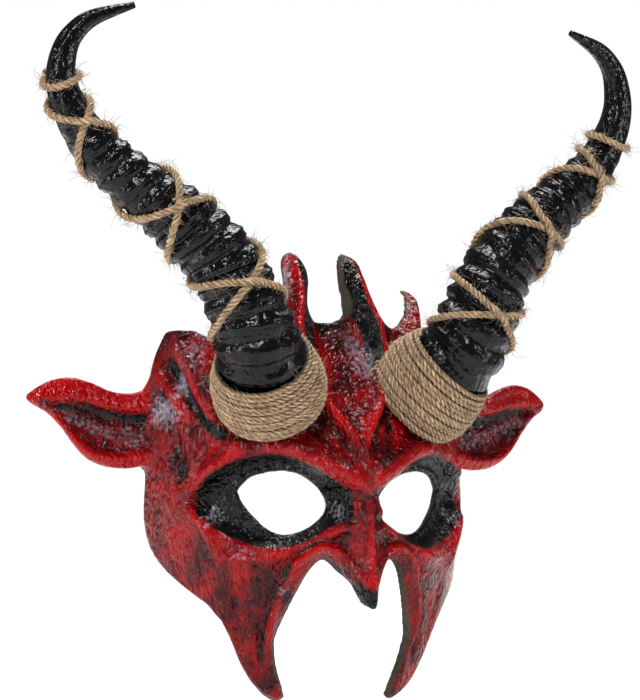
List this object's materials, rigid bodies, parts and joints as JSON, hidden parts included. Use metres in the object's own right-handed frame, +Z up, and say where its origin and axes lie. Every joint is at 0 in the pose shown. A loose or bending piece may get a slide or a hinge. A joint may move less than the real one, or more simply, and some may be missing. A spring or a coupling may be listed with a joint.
{
  "type": "horned half-mask",
  "caption": "Horned folklore half-mask: moulded red and black face with ears and crest, twine-laced ribbed horns, foam pads and an elastic head strap.",
  "frame": {"origin": "centre of the forehead pad's flat rear face, where the mask rests on the wearer's forehead", "axes": "+Y back into the wearer's head, +Z up, +X to the right seen from the front"},
  "size_m": [0.3205, 0.1908, 0.3336],
  "materials": {
    "moulded_latex": "gloss red paint with black antiqued folds",
    "horn_resin": "gloss black, ribbed",
    "jute_twine": "raw two-ply jute",
    "elastic": "woven elastic",
    "slider_plastic": "moulded",
    "foam": "open-cell foam",
    "plated_steel": "zinc plated",
    "plug_wood": "turned, unfinished"
  },
  "bodies": {
    "mask": {"face_shell": "moulded_latex", "forehead_pad": "foam", "left_horn": "horn_resin", "left_horn_plug": "plug_wood", "left_horn_screw": "plated_steel", "left_horn_washer": "plated_steel", "left_twine_binding": "jute_twine", "left_temple_pad": "foam", "left_lace_under": "jute_twine", "left_lace_over": "jute_twine", "left_lace_ring": "jute_twine", "left_strap_rivet": "plated_steel", "left_rivet_washer": "plated_steel", "right_horn": "horn_resin", "right_horn_plug": "plug_wood", "right_horn_screw": "plated_steel", "right_horn_washer": "plated_steel", "right_twine_binding": "jute_twine", "right_temple_pad": "foam", "right_lace_under": "jute_twine", "right_lace_over": "jute_twine", "right_lace_ring": "jute_twine", "right_strap_rivet": "plated_steel", "right_rivet_washer": "plated_steel"},
    "strap": {"head_strap": "elastic", "strap_tail": "elastic"},
    "slider": {"strap_slider": "slider_plastic"}
  },
  "joints": [
    {"name": "strap_swing", "type": "hinge", "parent": "mask", "child": "strap", "pos_m": [0, 0.041, 0.004], "axis": [1, 0, 0], "range_deg": [-35, 35]},
    {"name": "slider_travel", "type": "slide", "parent": "strap", "child": "slider", "axis": [0, 1, 0], "range_m": [-0.012, 0.017]}
  ]
}
